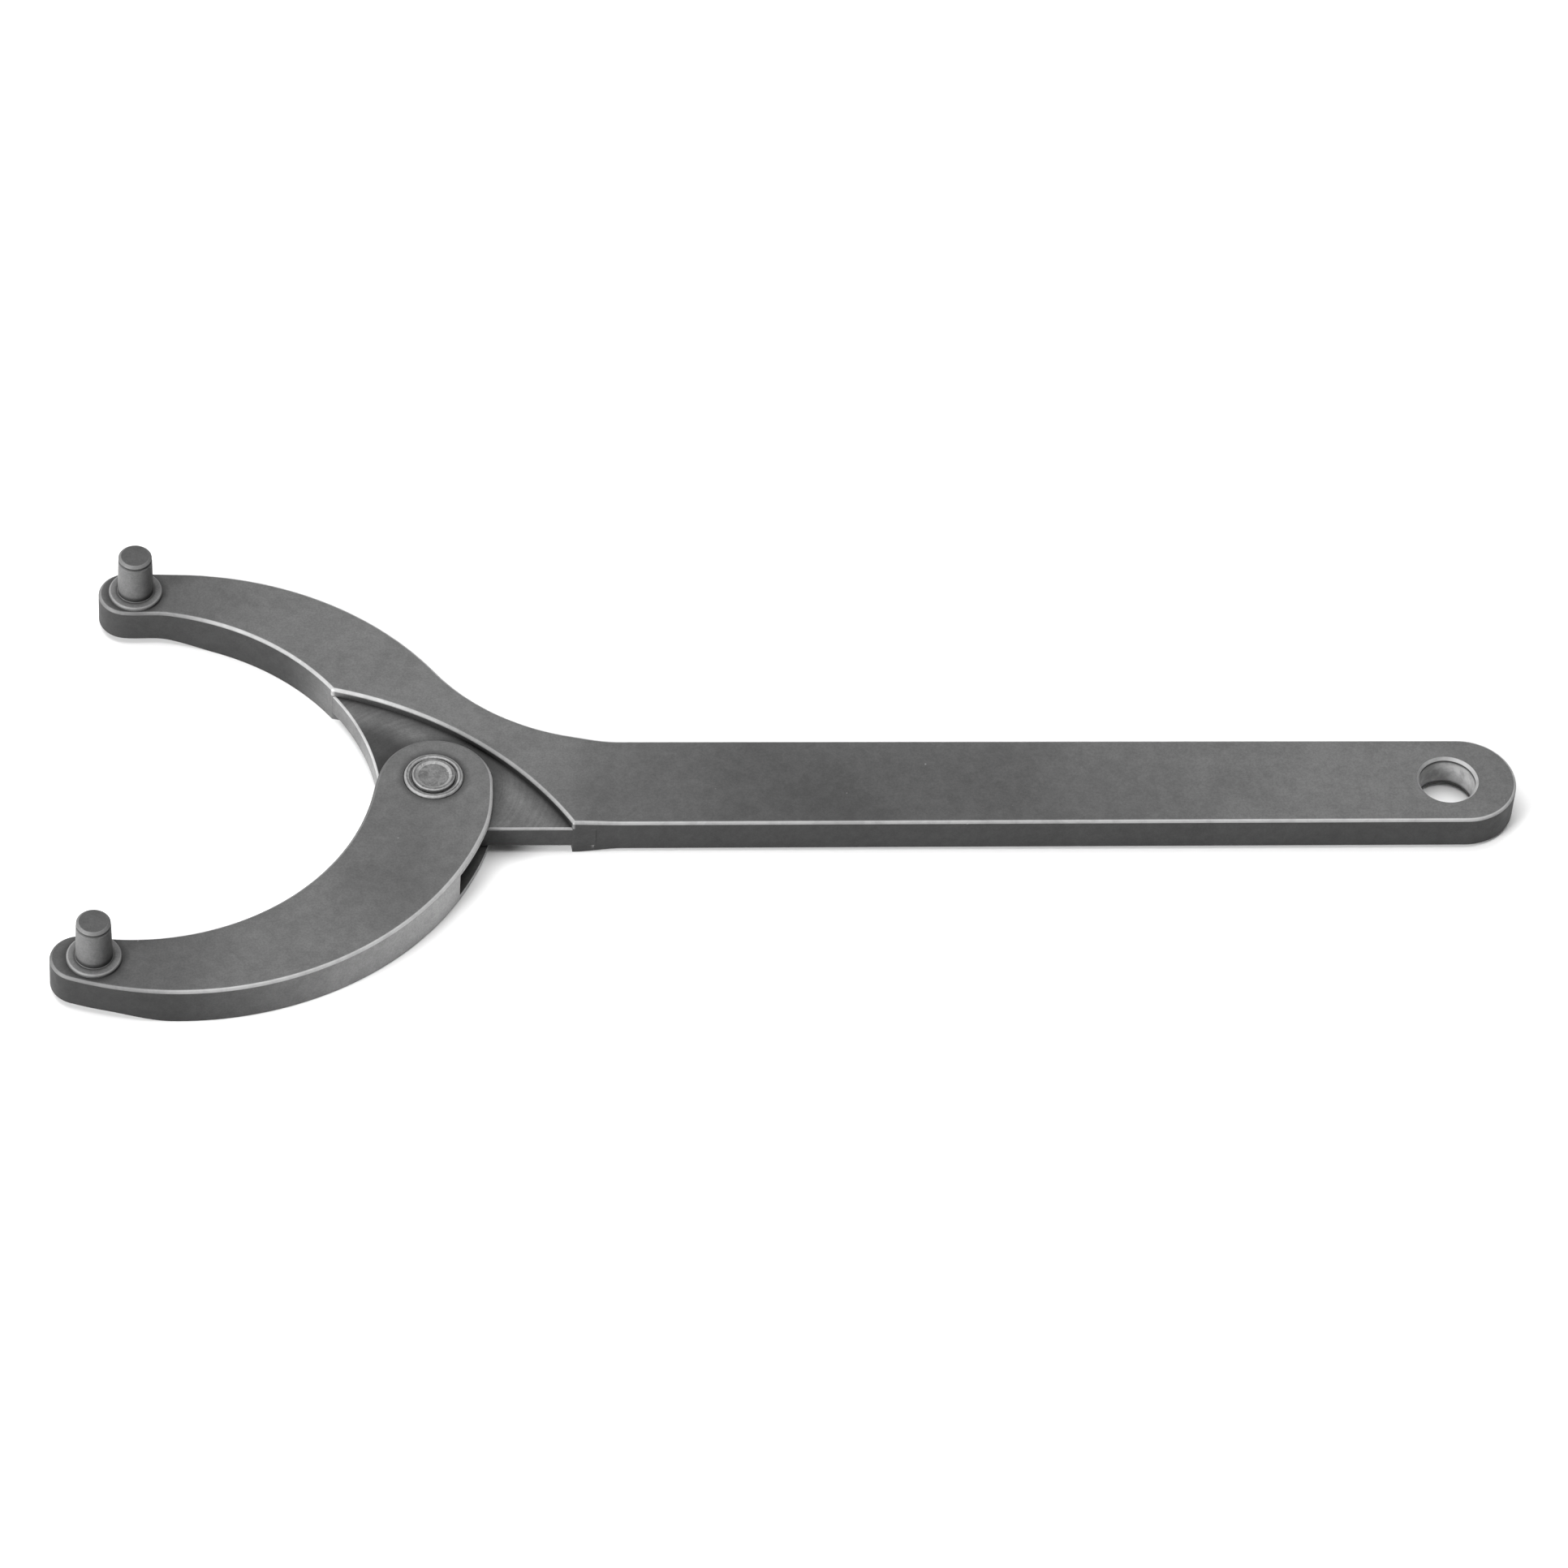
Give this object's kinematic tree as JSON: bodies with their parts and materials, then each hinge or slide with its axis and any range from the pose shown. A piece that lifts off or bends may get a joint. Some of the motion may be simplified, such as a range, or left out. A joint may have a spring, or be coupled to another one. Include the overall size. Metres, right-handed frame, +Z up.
{
  "type": "adjustable pin spanner wrench",
  "caption": "Adjustable pin spanner: a flat bar handle with a fixed curved arm and a riveted swing arm, each with an upright pin that fits a hole in the face of a coupling, cap or nut.",
  "frame": {"origin": "middle of the whole tool's outline, at the flat underside it rests on", "axes": "+X along the handle from the arms to the hanging hole, +Y across the handle towards the fixed arm, +Z up, the way the pins point"},
  "size_m": [0.2112, 0.0812, 0.0141],
  "materials": {
    "forged_steel": "black oxide on drop-forged steel, satin",
    "pin_steel": "black oxide on turned steel, satin",
    "rivet_steel": "black oxide on peened steel, satin"
  },
  "bodies": {
    "handle": {"handle_and_fixed_arm": "forged_steel", "fixed_arm_pin": "pin_steel"},
    "swing": {"swing_arm": "forged_steel", "swing_arm_pin": "pin_steel", "hinge_rivet": "rivet_steel", "hinge_washer": "rivet_steel"}
  },
  "joints": [
    {"name": "arm_hinge", "type": "hinge", "parent": "handle", "child": "swing", "pos_m": [-0.05124, -0.00007, 0.00317], "axis": [0, 0, 1], "range_deg": [-64, 48]}
  ]
}
